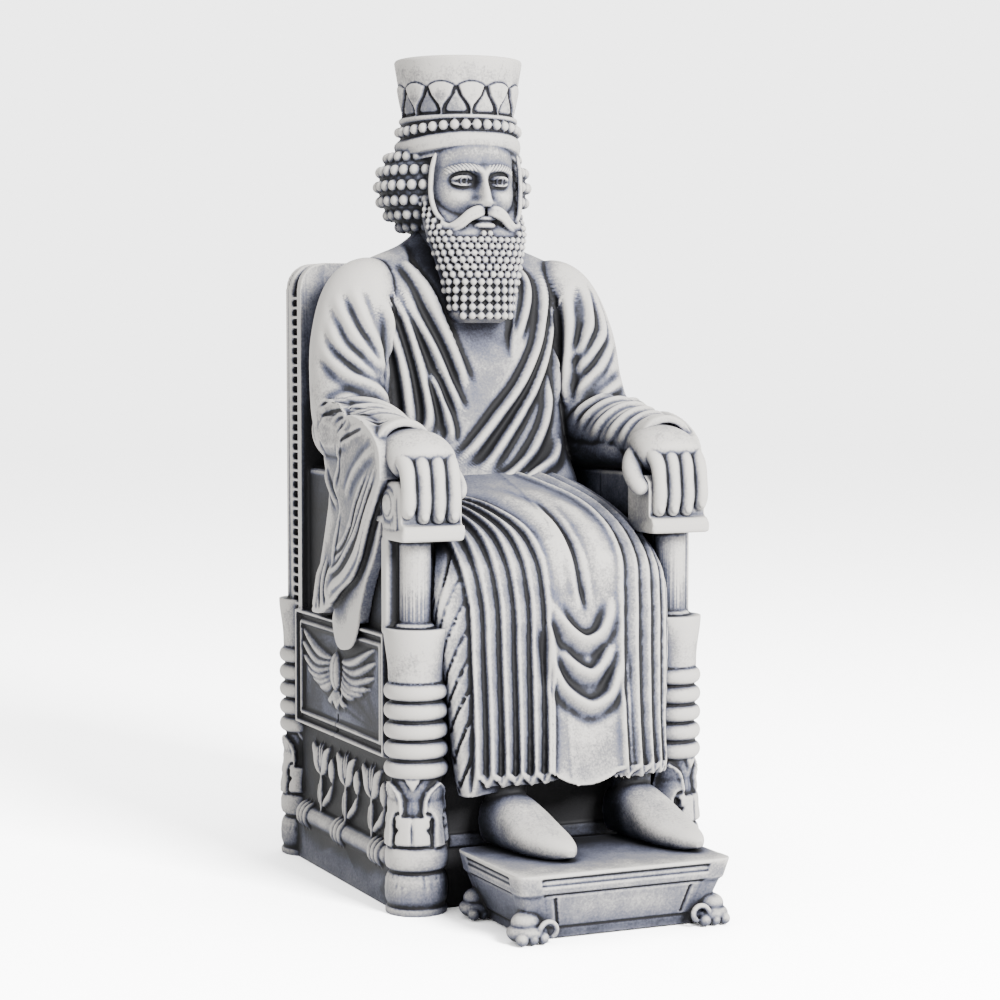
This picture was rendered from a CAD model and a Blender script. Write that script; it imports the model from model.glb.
"""Looks of a small cast statue: a bearded king on a carved throne with a footstool."""

import math

import bmesh
import bpy
import numpy as np
from mathutils import Matrix, Vector


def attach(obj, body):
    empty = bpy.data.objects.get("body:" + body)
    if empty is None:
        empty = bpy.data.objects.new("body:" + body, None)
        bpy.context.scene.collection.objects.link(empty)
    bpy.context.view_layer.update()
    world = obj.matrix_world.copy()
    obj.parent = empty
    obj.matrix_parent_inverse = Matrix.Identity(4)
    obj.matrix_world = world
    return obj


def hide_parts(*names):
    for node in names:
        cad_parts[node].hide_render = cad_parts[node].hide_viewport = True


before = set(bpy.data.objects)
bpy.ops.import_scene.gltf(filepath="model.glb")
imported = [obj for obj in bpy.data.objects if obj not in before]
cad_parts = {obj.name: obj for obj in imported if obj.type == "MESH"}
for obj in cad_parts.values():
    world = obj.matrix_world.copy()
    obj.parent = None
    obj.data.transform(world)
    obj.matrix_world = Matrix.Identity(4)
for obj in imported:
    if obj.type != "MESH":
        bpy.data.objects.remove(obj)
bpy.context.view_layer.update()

bl_info = {
    "name": "Seated king statue",
    "version": (1, 0, 0),
    "blender": (4, 5, 0),
    "location": "View3D > Sidebar > Statue",
    "description": "Builds a cast resin statue of a king on a throne with a footstool",
    "category": "Add Mesh",
}

MM = 0.001
SIDES = (-1, 1)
GAP = 0.3

# Throne, in millimetres
POST_X = 45.9
POST_Y = 50.7
POST_TOP = 91.6
RINGS_LOW = 43.5
RINGS_HIGH = 74.6
CORE_HALF = 50.5
CORE_FRONT = -51.6
CORE_BACK = 52.0
SEAT_TOP = 90.0
PANEL_FACE = 54.0
PANEL_LOW = 48.5
PANEL_HIGH = 89.0
PANEL_HALF = 42.3
BLOSSOM_PITCH = 24.15
BLOSSOM_SHIFT = -2.4
WING_Y = 3.5
RAIL_X = 50.6
RAIL_Z = 16.5
ARM_LOW = 123.5
ARM_TOP = 138.6
ARM_FRONT = -56.5
END_Y = -50.5
BLOCK_INNER = 33.5
BLOCK_OUTER = 55.0
WALL_OUTER = 50.6
LEDGE_LOW = 119.6
BACK_FRONT = 36.0
BACK_REAR = 51.0
BACK_HALF = 53.5
BACK_TOP = 210.0
# Footstool
STOOL_HALF = 37.0
STOOL_FRONT = -110.2
STOOL_REAR = -61.7
STOOL_TOP = 21.6
STOOL_VOXEL = 0.36
# King
ROBE_HALF = 58.7
CROWN_Y = 21.6
CROWN_TOP = 280.0
HEAD_Y = 19.5
BROW_Z = 241.5
EYE_X = 6.7
EYE_Y = 4.3
EYE_Z = 237.3
EYE_R = 3.6
MOUTH_Z = 223.4


# Small helpers

def ramp(value, low, high):
    """0 below low, 1 above high, smooth between."""
    t = np.clip((value - low) / (high - low), 0.0, 1.0)
    return t * t * (3 - 2 * t)


def stations(rows, at, entry):
    """Smooth value between rows that start with their place."""
    xs = np.array([row[0] for row in rows], float)
    ys = np.array([row[entry] for row in rows], float)
    slopes = np.gradient(ys, xs)
    i = np.clip(np.searchsorted(xs, at) - 1, 0, len(xs) - 2)
    span = xs[i + 1] - xs[i]
    t = np.clip((at - xs[i]) / span, 0, 1)
    a, b = slopes[i] * span, slopes[i + 1] * span
    return (
        (2 * t**3 - 3 * t**2 + 1) * ys[i] + (t**3 - 2 * t**2 + t) * a
        + (3 * t**2 - 2 * t**3) * ys[i + 1] + (t**3 - t**2) * b
    )


def on_side(sx, a, b):
    """Two distances from the middle as low and high x on side sx."""
    return sorted((sx * a, sx * b))


def mirrored(sx, points):
    """Points whose x counts outwards, put on side sx."""
    return [(sx * x, *rest) for x, *rest in points]


def profile(rows, at):
    """Value at a place between rows of place and value, along straight lines."""
    return np.interp(at, [row[0] for row in rows], [row[1] for row in rows])


def rounded(turn, power):
    """Point on a rounded square: power 2 is an ellipse."""
    c, s = np.cos(2 * math.pi * turn), np.sin(2 * math.pi * turn)
    return np.sign(c) * np.abs(c) ** (2 / power), np.sign(s) * np.abs(s) ** (2 / power)


def smooth_line(points, count):
    """Evenly spread points on a smooth line through a few given ones."""
    p = np.array(points, float)
    t = np.linspace(0, len(p) - 1, count)
    rows = [tuple([k, *p[k]]) for k in range(len(p))]
    return np.stack([stations(rows, t, 1 + k) for k in range(p.shape[1])], axis=1)


def bell(away, width):
    """1 at distance 0, falling off smoothly over the width."""
    return np.exp(-((away / width) ** 2))


def bump(value, middle, half, soft=0.35):
    """1 within half of the middle, falling to 0 over soft."""
    return np.clip((half + soft - np.abs(value - middle)) / soft, 0, 1)


def along_line(line, y, z):
    """Distance from flat points to an open line."""
    best = np.full(np.shape(y), 1e9)
    for (ay, az), (by, bz) in zip(line[:-1], line[1:]):
        dy, dz = by - ay, bz - az
        t = np.clip(((y - ay) * dy + (z - az) * dz) / (dy * dy + dz * dz), 0, 1)
        best = np.minimum(best, (y - ay - t * dy) ** 2 + (z - az - t * dz) ** 2)
    return np.sqrt(best)


def within(outline, y, z):
    """Distance from flat points to a closed outline, positive inside it."""
    inside = np.zeros(np.shape(y), bool)
    closed = [*outline, outline[0]]
    for (ay, az), (by, bz) in zip(closed[:-1], closed[1:]):
        if az != bz:
            inside ^= ((az > z) != (bz > z)) & (y < (by - ay) * (z - az) / (bz - az) + ay)
    return np.where(inside, 1.0, -1.0) * along_line(closed, y, z)


def petal(line, width):
    """Outline of a pointed leaf along a smooth line, widest in its middle."""
    steps = 9
    spine = smooth_line(line, steps)
    lean = np.gradient(spine, axis=0)
    lean /= np.linalg.norm(lean, axis=1)[:, None]
    half = width / 2 * np.sin(math.pi * np.linspace(0, 1, steps)) ** 0.7
    side = np.stack([-lean[:, 1], lean[:, 0]], axis=1) * half[:, None]
    return [*map(tuple, (spine + side)[:-1]), *map(tuple, (spine - side)[:0:-1])]


def mesh_of(bm, name):
    """Turns a finished bmesh into a mesh."""
    mesh = bpy.data.meshes.new(name)
    bm.to_mesh(mesh)
    bm.free()
    return mesh


def put(name, data):
    """Adds an object to the scene."""
    made = bpy.data.objects.new(name, data)
    bpy.context.scene.collection.objects.link(made)
    return made


class Clay:
    """Gathers closed skins, then melts them into one cast body."""

    def __init__(self):
        self.lumps = []

    def keep(self, bm):
        """Puts one finished lump aside with its faces outwards."""
        bmesh.ops.recalc_face_normals(bm, faces=bm.faces[:])
        self.lumps.append(mesh_of(bm, "lump"))

    def skin(self, around, along, place):
        """Closed skin from place(turn, v) with both ends drawn together."""
        bm = bmesh.new()
        bmesh.ops.create_grid(bm, x_segments=around, y_segments=along + 2, size=0.5)
        flat = np.array([v.co for v in bm.verts])
        turn = flat[:, 0] + 0.5
        turn[turn > 1 - 1e-6] = 0.0
        row = np.rint((flat[:, 1] + 0.5) * (along + 2)).astype(int)
        v = np.clip((row - 1) / along, 0, 1)
        points = np.stack(np.broadcast_arrays(*place(turn, v)), axis=1).astype(float)
        for end, ring in ((0, 1), (along + 2, along + 1)):
            points[row == end] = points[row == ring].mean(axis=0)
        for vert, point in zip(bm.verts, (points * MM).tolist()):
            vert.co = point
        bmesh.ops.remove_doubles(bm, verts=bm.verts[:], dist=1e-7)
        self.keep(bm)

    def block(self, x0, x1, y0, y1, z0, z1, soft=0.0):
        """Box between two corners, with its edges rounded by soft."""
        bm = bmesh.new()
        size = Matrix.Diagonal((abs(x1 - x0) * MM, (y1 - y0) * MM, (z1 - z0) * MM, 1))
        place = Matrix.Translation(Vector((x0 + x1, y0 + y1, z0 + z1)) * MM / 2)
        bmesh.ops.create_cube(bm, size=1, matrix=place @ size)
        if soft:
            bmesh.ops.bevel(bm, geom=bm.edges[:], offset=soft * MM, segments=4, affect="EDGES", profile=0.5,
                            material=-1)
        self.keep(bm)

    def ball(self, x, y, z, rx, ry=None, rz=None, detail=3):
        """Ball or egg."""
        bm = bmesh.new()
        size = Matrix.Diagonal((rx * MM, (ry or rx) * MM, (rz or rx) * MM, 1))
        place = Matrix.Translation(Vector((x, y, z)) * MM)
        bmesh.ops.create_icosphere(bm, subdivisions=detail, radius=1, matrix=place @ size)
        self.keep(bm)

    def limb(self, points, around, along, flat=1.0, blunt=8):
        """Round body along a smooth line; points are x, y, z, radius."""
        steps = 200
        line = smooth_line(points, steps)
        tangent = np.gradient(line[:, :3], axis=0)
        tangent /= np.linalg.norm(tangent, axis=1)[:, None]
        side = np.array([1.0, 0, 0]) if abs(tangent[:, 0]).max() < 0.9 else np.array([0, 1.0, 0])
        across = side - tangent * (tangent @ side)[:, None]
        across /= np.linalg.norm(across, axis=1)[:, None]
        up = np.cross(tangent, across)

        def place(turn, v):
            s = (0.5 - 0.5 * np.cos(math.pi * v)) * (steps - 1)
            i = np.clip(s.astype(int), 0, steps - 2)
            f = (s - i)[:, None]
            m, c, u = (a[i] * (1 - f) + a[i + 1] * f for a in (line, across, up))
            cap = np.sqrt(np.maximum(1 - np.abs(2 * s / (steps - 1) - 1) ** blunt, 0.05))
            r = (m[:, 3] * cap)[:, None]
            angle = (2 * math.pi * turn)[:, None]
            return tuple((m[:, :3] + r * (np.cos(angle) * c + flat * np.sin(angle) * u)).T)

        self.skin(around, along, place)

    def plate(self, outline, low, high, axis="X"):
        """Flat outline made thick along an axis; the outline's pairs are y, z or x, z."""
        bm = bmesh.new()
        if axis == "X":
            corners = [(low, a, b) for a, b in outline]
        else:
            corners = [(a, low, b) for a, b in outline]
        face = bm.faces.new([bm.verts.new([c * MM for c in corner]) for corner in corners])
        grown = bmesh.ops.extrude_face_region(bm, geom=[face])
        moved = [g for g in grown["geom"] if isinstance(g, bmesh.types.BMVert)]
        thick = (high - low) * MM
        bmesh.ops.translate(bm, verts=moved, vec=(thick, 0, 0) if axis == "X" else (0, thick, 0))
        self.keep(bm)

    def relief(self, sx, y0, y1, z0, z1, face, inner):
        """Upright slab on side sx whose outer face stands at x = face(y, z)."""
        step = 0.35
        across = int((y1 - y0) / step)
        rear = 8
        around = across + rear

        def place(turn, v):
            s = turn * around
            outside = s < across + 0.5
            y = np.where(outside, y0 + (y1 - y0) * s / across, y1 + (y0 - y1) * (s - across) / rear)
            z = z0 + (z1 - z0) * v
            return sx * np.where(outside, face(y, z), inner), y, z

        self.skin(around, int((z1 - z0) / step), place)

    def to_object(self, name):
        """One object from all skins, which may still overlap."""
        bm = bmesh.new()
        for lump in self.lumps:
            bm.from_mesh(lump)
            bpy.data.meshes.remove(lump)
        return put(name, mesh_of(bm, name))


def settle(made):
    """Keeps what the modifiers show as the object's own mesh."""
    graph = bpy.context.evaluated_depsgraph_get()
    graph.update()
    mesh = bpy.data.meshes.new_from_object(made.evaluated_get(graph))
    old = made.data
    made.modifiers.clear()
    made.data = mesh
    bpy.data.meshes.remove(old)


def stain(mesh, pools):
    """Measures how deep each point lies below its smoothed surroundings, at three reaches, for the wash.

    Pools are places where the wash was left thicker or thinner: middle, reach and amount.
    """
    count = len(mesh.vertices)
    points, normals = coordinates(mesh)
    ends = np.empty(len(mesh.edges) * 2, dtype=np.int32)
    mesh.edges.foreach_get("vertices", ends)
    a, b = ends.reshape(-1, 2).T
    degree = np.bincount(a, minlength=count) + np.bincount(b, minlength=count)
    smooth = points.copy()

    def store(name, values):
        layer = mesh.attributes.new(name, "FLOAT", "POINT")
        layer.data.foreach_set("value", values.astype(np.float32))

    done = 0
    for name, rounds in (("groove", 3), ("hollow", 14), ("shelter", 90)):
        for _ in range(done, rounds):
            smooth = np.stack([
                (np.bincount(a, smooth[b, k], count) + np.bincount(b, smooth[a, k], count)) / degree
                for k in range(3)], axis=1)
        done = rounds
        store(name, ((smooth - points) * normals).sum(axis=1))
    amount = np.zeros(count)
    for middle, reach, thick in pools:
        amount += thick * np.exp(-((np.abs(points - middle) / reach) ** 4).sum(axis=1))
    store("pool", amount)


def coordinates(mesh):
    """Points in millimetres and unit normals of a mesh."""
    points = np.empty(len(mesh.vertices) * 3)
    mesh.vertices.foreach_get("co", points)
    normals = np.empty_like(points)
    mesh.vertex_normals.foreach_get("vector", normals)
    return points.reshape(-1, 3) / MM, normals.reshape(-1, 3)


def melt(made, voxel, budget, etch, pools):
    """Joins the skins into one body, softens it as casting does, carves it and thins it to the budget."""
    remesh = made.modifiers.new("cast", "REMESH")
    remesh.mode = "VOXEL"
    remesh.voxel_size = voxel * MM
    smooth = made.modifiers.new("soften", "SMOOTH")
    smooth.factor = 0.5
    smooth.iterations = 1
    settle(made)
    if etch:
        points, normals = coordinates(made.data)
        carved = (points + normals * etch(points, normals)[:, None]) * MM
        made.data.vertices.foreach_set("co", carved.ravel())
        made.data.update()
    stain(made.data, pools)
    thin = made.modifiers.new("thin", "DECIMATE")
    thin.ratio = min(1.0, budget / (len(made.data.polygons) * 2))
    settle(made)


def trim(made, rooms):
    """Cuts away the room that a neighbouring casting takes."""
    for low, high in rooms:
        bm = bmesh.new()
        size = [(b - a) * MM for a, b in zip(low, high)]
        middle = Vector([(a + b) / 2 * MM for a, b in zip(low, high)])
        bmesh.ops.create_cube(bm, size=1, matrix=Matrix.Translation(middle) @ Matrix.Diagonal((*size, 1)))
        mesh = mesh_of(bm, "room")
        tool = put("room", mesh)
        cut = made.modifiers.new("room", "BOOLEAN")
        cut.operation = "DIFFERENCE"
        cut.solver = "MANIFOLD"
        cut.object = tool
        settle(made)
        bpy.data.objects.remove(tool)
        bpy.data.meshes.remove(mesh)


def cast(clay, name, voxel, budget, etch=None, pools=(), rooms=()):
    """One casting from all skins, cut to its neighbours."""
    made = clay.to_object(name)
    melt(made, voxel, budget, etch, pools)
    trim(made, rooms)
    return made


def hand_over(made, node, material):
    """Shades the piece smooth, paints it and puts it on the frame."""
    mesh = made.data
    mesh.materials.clear()
    mesh.materials.append(material)
    mesh.shade_smooth()
    mesh.set_sharp_from_angle(angle=math.radians(70))
    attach(made, "root")
    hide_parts(node)


def ridge(points, normals, line, width, height, valley):
    """Height of one fold: a rounded crest along a line with a hollow on each side."""
    steps = 60
    line = smooth_line(line, steps)
    reach = width * 4
    near = np.all((points > line.min(0) - reach) & (points < line.max(0) + reach), axis=1)
    result = np.zeros(len(points))
    index = np.nonzero(near)[0]
    if len(index) == 0:
        return result
    gap = points[index][:, None, :] - line[None, :, :]
    nearest = (gap**2).sum(axis=2).argmin(axis=1)
    gap = gap[np.arange(len(index)), nearest]
    lean = np.gradient(line, axis=0)
    lean = (lean / np.linalg.norm(lean, axis=1)[:, None])[nearest]
    gap -= lean * (gap * lean).sum(axis=1)[:, None]
    lift = (gap * normals[index]).sum(axis=1)
    gap -= normals[index] * lift[:, None]
    away = np.sqrt((gap**2).sum(axis=1))
    share = nearest / (steps - 1)
    taper = ramp(np.minimum(share, 1 - share), -0.02, 0.22) * (1 - ramp(np.abs(lift), 3, 7))
    crest = bell(away, width) - valley * bell(away - 2 * width, width)
    result[index] = height * crest * taper
    return result


def both_sides(*pools):
    """Pools and their mirror images."""
    return [((sx * x, y, z), reach, thick) for (x, y, z), reach, thick in pools for sx in SIDES]


# Where the wash was left thicker or wiped thinner
ROBE_POOLS = [
    *both_sides(((56, -20, 128), (6, 36, 36), 0.12), ((42, -12, 143), (9, 28, 6), 0.35)),
    ((0, 0, 178), (44, 40, 40), -0.08),
    ((-2, 4, 182), (17, 14, 26), 0.22),
    ((6, -8, 150), (26, 16, 16), 0.2),
    ((0, 20, 215), (24, 18, 12), 0.25),
    ((-48, 16, 196), (18, 18, 18), -0.1),
]
HEAD_POOLS = [
    *both_sides(((6.7, 2, 237.5), (5.5, 5, 4), 0.14), ((3.8, -1, 231.5), (1.4, 4, 4), 0.12)),
    ((0, 0, 244.5), (15, 8, 3.5), 0.14),
    ((-16, 12, 263), (10, 14, 5), 0.25),
    ((0, 30, 232), (40, 24, 16), 0.12),
]
LAP_POOLS = [
    ((0, -14, 137), (38, 30, 12), 0.22),
    ((-24, -60, 85), (17, 30, 50), 0.16),
    ((31, -60, 85), (10, 30, 50), 0.14),
    ((8, -62, 112), (7, 14, 20), 0.1),
    ((0, -62, 30), (60, 8, 10), 0.3),
]
THRONE_POOLS = [
    *both_sides(
        ((46, 36, 146), (9, 3, 58), 0.2),
        ((51, 12, 114), (3, 30, 26), 0.12),
        ((53, 0, 68), (6, 41, 22), 0.2),
        ((50, 0, 33), (1.6, 42, 15), 0.7),
        ((53, 0, 5), (6, 42, 9), 0.2),
        ((54, 44, 150), (2, 5, 60), 0.2),
        ((46, -50.5, 105), (8, 8, 15), -0.5),
    ),
    ((0, -52, 40), (36, 6, 60), 0.5),
    ((0, 30, 150), (50, 8, 70), 0.15),
]
STOOL_POOLS = [
    ((0, -76, 21.6), (34, 26, 1.5), 0.28),
    ((0, -106, 9), (26, 8, 5), -0.3),
    ((0, -86, 0), (40, 30, 3.5), 0.15),
]

TORSO_LOW = 89
TORSO_HIGH = 230
# Height, half width, front, back and squareness
TORSO = [
    (89, 37, -14, 35.7, 4),
    (120, 36.5, -16, 35.7, 3.4),
    (130, 36, -17.5, 35.7, 3.2),
    (136, 35.5, -16, 35.7, 3),
    (143, 35, -10, 35.7, 2.9),
    (155, 35, -4.5, 35.7, 2.7),
    (172, 37, 1, 35.7, 2.6),
    (188, 42, 4, 35.7, 2.5),
    (200, 45, 6, 35, 2.5),
    (206, 42, 9, 34, 2.3),
    (211, 34, 12, 33, 2.1),
    (216, 22, 14, 32, 2),
    (221, 15.5, 14, 31, 2),
    (230, 13, 15, 30, 2),
]

# Folds of the robe over chest, belly and arms: line, width, height
CHEST_FOLDS = [
    ([(-24, 13, 212), (-22, 11, 207), (-17, 7, 196), (-12, 4, 185), (-8, 2, 174), (-6, 1, 166)], 1.5, 1.5),
    ([(-27, 10, 201), (-22, 6, 190), (-16, 3, 178), (-12, 0, 166), (-9, -3, 158)], 1.4, 1.6),
    ([(-32, 10, 201), (-26, 7, 190), (-23, 4, 178), (-21, 1, 166), (-21, -2, 156), (-25, -5, 150)], 1.5, 1.8),
    ([(-19, 3, 174), (-16, 0, 164), (-14, -3, 153), (-15, -6, 148)], 1.2, 1.3),
    ([(-35, 6, 198), (-31, 6, 186), (-28, 4, 174), (-27, 2, 163), (-28, -2, 154)], 1.7, 2.0),
    ([(-45, 9, 202), (-42, 4, 190), (-37, 3, 180), (-31, 5, 170)], 1.8, 1.6),
    ([(-50, 12, 199), (-47, 4, 187), (-41, 2, 178), (-34, 5, 171)], 1.7, 1.4),
    ([(-53, 10, 190), (-51, 4, 181), (-45, 1, 175), (-38, 3, 169)], 1.6, 1.2),
    ([(-57, 9, 181), (-50, 1, 172), (-41, 0, 167), (-32, 3, 160)], 2.0, 1.8),
    ([(-58, 3, 160), (-51, -5, 165), (-44, -12, 164), (-38, -20, 158), (-34, -28, 152)], 1.8, 1.7),
    ([(16, 8, 213), (20, 10, 203), (18, 6, 192), (14, 4, 182)], 1.3, 1.3),
    ([(27, 11, 208), (26, 8, 194), (23, 5, 181), (15, 1, 168), (4, -4, 157), (-6, -9, 148), (-15, -12, 142)],
     1.5, 2.0),
    ([(31, 10, 203), (29, 8, 186), (23, 3, 171), (14, -3, 159), (3, -9, 147), (-7, -14, 138)], 1.4, 1.7),
    ([(34, 8, 202), (35, 5, 187), (33, 4, 172), (31, 3, 160)], 1.6, 1.9),
    ([(28, 5, 172), (25, 0, 159), (18, -6, 148), (8, -12, 139), (-3, -16, 133)], 1.4, 1.6),
    ([(30, -2, 150), (23, -8, 142), (13, -13, 137), (3, -17, 133)], 1.5, 1.5),
    ([(41, 9, 204), (43, 4, 192), (40, 3, 183), (36, 4, 175)], 1.6, 1.7),
    ([(46, 9, 199), (48, 4, 187), (42, 2, 178), (36, 3, 171)], 1.6, 1.7),
    ([(52, 6, 184), (46, 1, 175), (40, 0, 169), (35, 2, 163)], 1.6, 1.6),
    ([(57, 4, 170), (48, -3, 166), (40, -4, 161), (35, 0, 154)], 1.6, 1.6),
    ([(58, -4, 163), (49, -11, 164), (40, -11, 159), (35, -5, 150)], 1.6, 1.5),
    ([(58, -12, 158), (49, -20, 161), (40, -20, 157), (35, -13, 147)], 1.5, 1.4),
    ([(57, -19, 153), (49, -27, 158), (41, -28, 155), (36, -22, 146)], 1.4, 1.3),
    ([(56, -26, 149), (49, -33, 155), (42, -34, 153), (37, -29, 145)], 1.3, 1.1),
    ([(-58, -6, 155), (-52, -14, 160), (-45, -20, 160), (-38, -28, 154)], 1.3, 0.9),
    ([(-58, -14, 148), (-53, -22, 155), (-46, -28, 157), (-39, -35, 151)], 1.3, 0.8),
]

# Share of the way down, outer y and z, inner y and z, left and right half widths
SKIRT = [
    (0.0, 14, 141, 16, 89, -33, 33),
    (0.1, -8, 139.5, 0, 89, -36, 36),
    (0.2, -24, 136, -12, 89, -38, 38),
    (0.3, -40, 130, -26, 89, -40, 40),
    (0.38, -52, 123, -38, 88, -41, 41),
    (0.46, -59.5, 114, -48, 86, -41, 41.5),
    (0.55, -62, 102, -50, 84, -40.5, 41.5),
    (0.7, -64.5, 82, -51.8, 70, -38, 40.5),
    (0.85, -68.5, 61, -51.8, 54, -36.5, 38.5),
    (1.0, -72.6, 45, -51.8, 45, -35, 37.5),
]
# Share of the way down, then inner and outer pleat line on the left and on the right
PLEATS = [
    (0.0, -34, -36, 2, 30),
    (0.1, -34, -37, 4, 33),
    (0.2, -30, -36.5, 10, 36),
    (0.3, -17, -35.5, 19, 38.5),
    (0.38, -9.5, -34.5, 22, 40),
    (0.46, -6.5, -33.5, 23, 41),
    (0.55, -5, -31.8, 22.5, 41),
    (0.7, -5.5, -31.5, 21.5, 40),
    (0.85, -7, -32, 20.5, 38.3),
    (1.0, -9, -33, 19.5, 37.2),
]
# Swags between the legs and the crease above them: line in x and z, width, height, depth beside it
LAP_FOLDS = [
    ([(-5.4, 94), (-4.4, 88), (-3, 77), (0.3, 70.3), (8.2, 65.6), (15.7, 68.6), (19.1, 76), (20.4, 84)],
     1.8, 2.1, 0.4),
    ([(-4, 101), (0.2, 92.5), (5, 87.6), (9, 86.1), (13.7, 88.2), (17, 93.5), (19.2, 101)], 1.8, 2.3, 0.4),
    ([(-2.5, 86), (2.2, 79.4), (9, 75.6), (14.6, 79), (18, 86)], 1.8, 2.0, 0.4),
    ([(1.5, 130), (3.8, 124), (5.2, 118.8), (6.2, 113), (7, 108), (8, 102), (8.8, 95)], 1.2, -2.0, 0.25),
]
# Folds on the hanging sleeves: line in y and z on the outer face, width, height
SLEEVE_FOLDS = [
    ([(-49.4, 139.7), (-43.2, 132.6), (-37.6, 125.8), (-32.8, 119), (-26.8, 112.5), (-17.4, 106), (-7, 101.5),
      (-1.7, 98)], 1.3, 0.9),
    ([(-47, 143.5), (-38, 132.5), (-29, 121.5), (-20.7, 114.5), (-11.2, 108), (-0.4, 105.3)], 0.8, 0.6),
    ([(-41, 142), (-30, 131), (-24, 122), (-16, 115), (-7, 111.5)], 0.8, -0.5),
    ([(-13.8, 128), (-9.6, 116.9), (-5.9, 109.1)], 1.0, 0.8),
    ([(-23, 157), (-16, 152), (-12.6, 145), (-12, 140.3), (-8.6, 134.7)], 1.0, 0.8),
    ([(-46, 149), (-36, 145), (-26, 139), (-19, 131)], 1.6, 0.6),
    ([(3.2, 139.5), (-1.6, 134.3), (-9.9, 127.7)], 1.2, 0.8),
    ([(14.5, 91), (11.8, 98), (8, 108)], 0.9, 0.8),
    ([(10, 91), (8.6, 99), (4, 109)], 0.9, -0.7),
    ([(6, 92), (5, 101), (0, 111)], 0.9, 0.8),
    ([(9, 160), (6, 151), (1, 143)], 1.2, 0.8),
]
# Thin creases over the elbow
ELBOW_CREASES = [
    [(-57, 5, 160.8), (-58, -1, 163.1), (-57, -12, 164.3), (-50, -24, 164)],
    [(-57, 3.7, 157.6), (-58, -6, 159.6), (-57, -20, 160.4)],
    [(-57, -12, 149), (-57, -22, 152), (-55, -34, 154.6), (-50, -42, 155.6)],
    [(57, -30, 147), (54, -36, 152), (48, -38, 155.5), (41, -38, 154)],
    [(57, -35, 145), (54, -40, 150.5), (48, -42, 154), (41, -42, 152)],
]


def torso(clay):
    """Trunk of the robe, set back where it opens on the chest."""
    def place(turn, v):
        z = TORSO_LOW + (TORSO_HIGH - TORSO_LOW) * v
        c, s = rounded(turn, stations(TORSO, z, 4))
        front, back = stations(TORSO, z, 2), stations(TORSO, z, 3)
        x = stations(TORSO, z, 1) * c
        left = np.interp(z, [172, 210], [-5, -22])
        right = np.interp(z, [182, 212], [13, 16])
        inside = ramp(x, left, left + 1.5) * ramp(-x, -right, 1.5 - right) * ramp(z, 174, 186) * (s < 0)
        return x, (front + back) / 2 + s * (back - front) / 2 + 2.0 * inside, z

    clay.skin(300, 180, place)


def arms(clay):
    """Upper arms, forearms with open cuffs, and the cloth between each arm and the lap."""
    for sx in SIDES:
        clay.limb(mirrored(sx, [(26, 20, 199, 12.5), (36, 19, 197, 14.2), (42.5, 15.5, 183, 13.8),
                                (44.6, 12, 167, 13.4), (46, 5, 154, 13), (46, -3, 149, 11)]), 110, 90)

        def place(turn, v, sx=sx):
            # Past the cuff's edge the skin turns back into the sleeve
            cuff = 0.93
            y = 16 - 62 * np.minimum(v, cuff) / cuff
            inner = v > cuff
            y = np.where(inner, -46 + 60 * (v - cuff), y)
            radius = np.interp(
                y, [-46, -44.5, -38, -28, -14, 0, 12, 16], [9.6, 10.2, 9.8, 11, 12.6, 13.4, 12.6, 10])
            radius = np.where(inner, 7.7 - 25 * (v - cuff), radius)
            angle = 2 * math.pi * turn
            x = 46.3 - 0.03 * (y + 10)
            z = 148.5 + 0.075 * (y + 45)
            return sx * (x + radius * np.cos(angle)), y, z + radius * 0.94 * np.sin(angle)

        clay.skin(110, 90, place)
        # Cloth that falls between the arm and the lap
        clay.limb(mirrored(sx, [(40, 17, 145, 8.5), (41.5, -8, 145.5, 8), (43, -34, 146, 7)]), 60, 60)


# Layers of a hanging sleeve: outer face x and outline in y, z
SLEEVE_LAYERS = [
    (58.1, [(-50.7, 139), (-45.2, 132.3), (-39.6, 125.6), (-35.1, 118.8), (-30.5, 112), (-23.6, 105.7),
            (-13, 100.6), (-3.3, 95), (1, 98.4), (-1, 104.5), (-5.9, 109.1), (-9.6, 116.9), (-13.8, 128),
            (-8.2, 134.7), (-12.3, 140.3), (-13.6, 147), (-16, 155.3), (-23, 158.8), (-38, 156), (-49, 149)]),
    (56.9, [(11.5, 163), (10.4, 158), (8, 150), (4.4, 143), (0.9, 135.5), (-0.3, 129.7), (1.7, 123.6),
            (4.8, 115.8), (9.4, 105.3), (13.8, 95.5), (17, 90.6), (9, 90.6), (3, 92.7), (-6, 97), (-16, 112),
            (-22, 135), (-14, 160)]),
    (55.2, [(-46, 131), (-40.8, 118.3), (-36.3, 111.5), (-30.6, 105.3), (-24.9, 95.8), (-21.3, 87.2),
            (-16.6, 82.1), (-9.6, 80), (-3.6, 80.6), (0, 84.8), (1.1, 89.8), (-1.4, 95), (-8, 112),
            (-20, 136), (-42, 140)]),
]


def sleeves(clay):
    """Hanging sleeves, built of flat layers of cloth."""
    for sx in SIDES:
        for face, outline in SLEEVE_LAYERS:
            shape = smooth_line([*outline, outline[0]], 150)[:-1]
            clay.plate([tuple(p) for p in shape], *on_side(sx, 51.0, face))


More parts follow.
